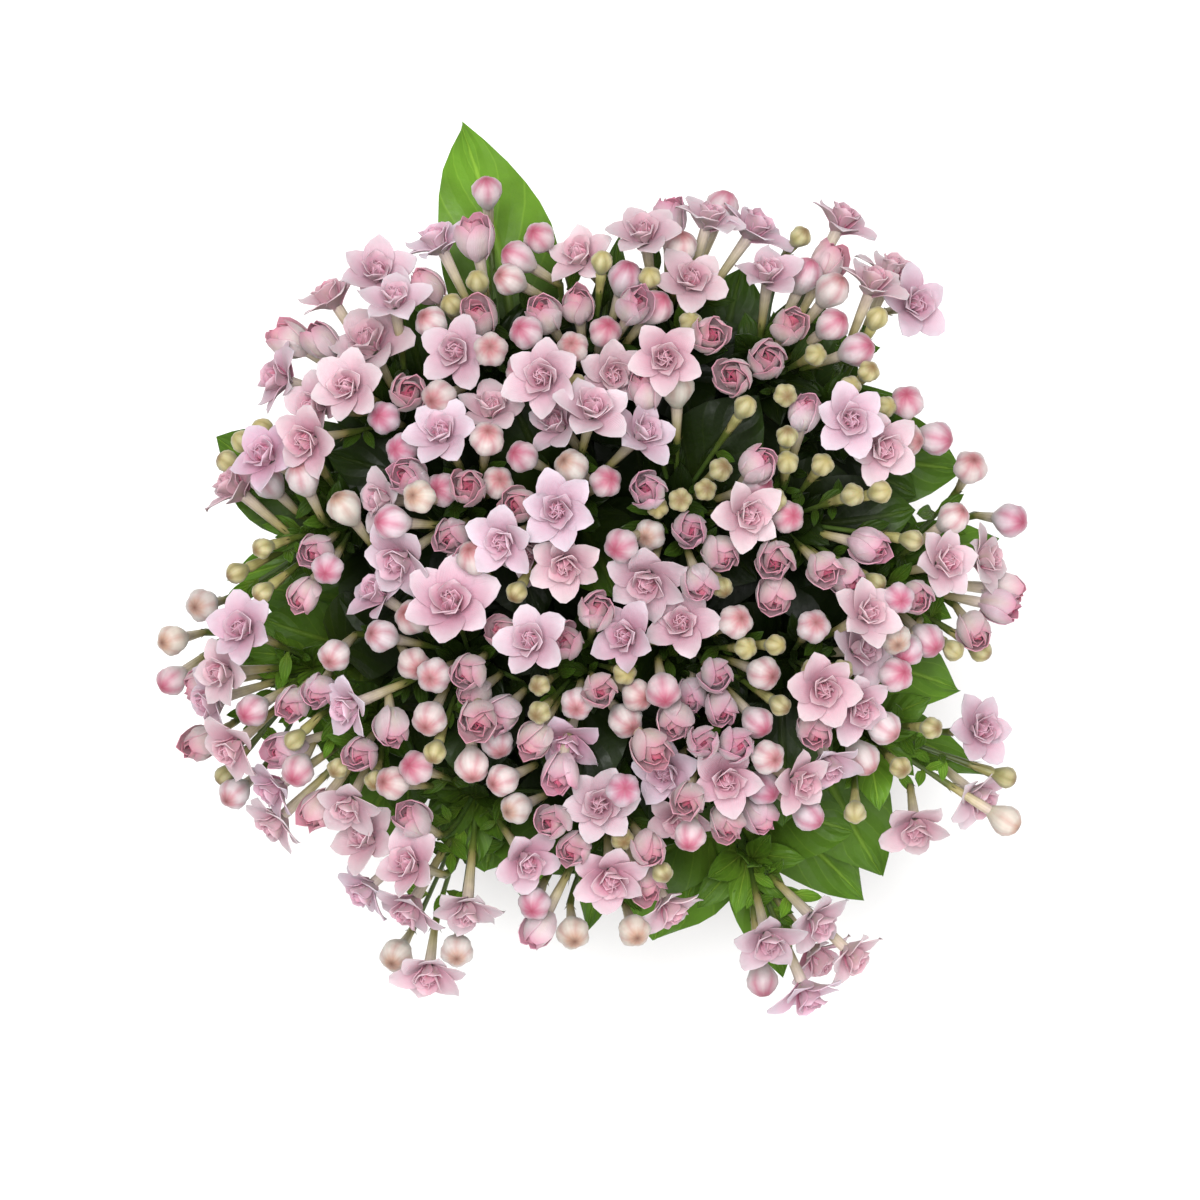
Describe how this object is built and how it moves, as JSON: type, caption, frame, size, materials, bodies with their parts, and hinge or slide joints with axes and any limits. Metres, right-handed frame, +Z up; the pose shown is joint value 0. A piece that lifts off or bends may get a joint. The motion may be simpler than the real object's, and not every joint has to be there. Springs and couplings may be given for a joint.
{
  "type": "potted double bouvardia",
  "caption": "Flowering bouvardia plant with a dense round crown of double pink tubular flowers and buds on leafy stems, standing in a plain round clay pot.",
  "frame": {"origin": "middle of the flat foot of the pot, on the surface that the pot stands on", "axes": "+Z up the middle of the pot to the crown, +Y towards the top of the picture, which looks straight down on the crown, +X towards its right side"},
  "size_m": [0.2683, 0.2793, 0.3305],
  "materials": {
    "clay": "matte",
    "soil": "matte",
    "foliage": "satin",
    "flowers": "satin"
  },
  "bodies": {
    "root": {"pot": "clay", "soil": "soil", "stem_01": "foliage", "stem_02": "foliage", "stem_03": "foliage", "stem_04": "foliage", "stem_05": "foliage", "stem_06": "foliage", "stem_07": "foliage", "stem_08": "foliage", "stem_09": "foliage", "stem_10": "foliage", "stem_11": "foliage", "stem_12": "foliage", "stem_13": "foliage", "stem_14": "foliage", "stem_15": "foliage", "stem_16": "foliage", "stem_17": "foliage", "stem_18": "foliage", "stem_19": "foliage", "stem_20": "foliage", "stem_21": "foliage", "stem_22": "foliage", "stem_23": "foliage", "head_01": "flowers", "head_02": "flowers", "head_03": "flowers", "head_04": "flowers", "head_05": "flowers", "head_06": "flowers", "head_07": "flowers", "head_08": "flowers", "head_09": "flowers", "head_10": "flowers", "head_11": "flowers", "head_12": "flowers", "head_13": "flowers", "head_14": "flowers", "head_15": "flowers", "head_16": "flowers", "head_17": "flowers", "head_18": "flowers", "head_19": "flowers", "head_20": "flowers", "head_21": "flowers", "head_22": "flowers", "head_23": "flowers"}
  },
  "joints": []
}
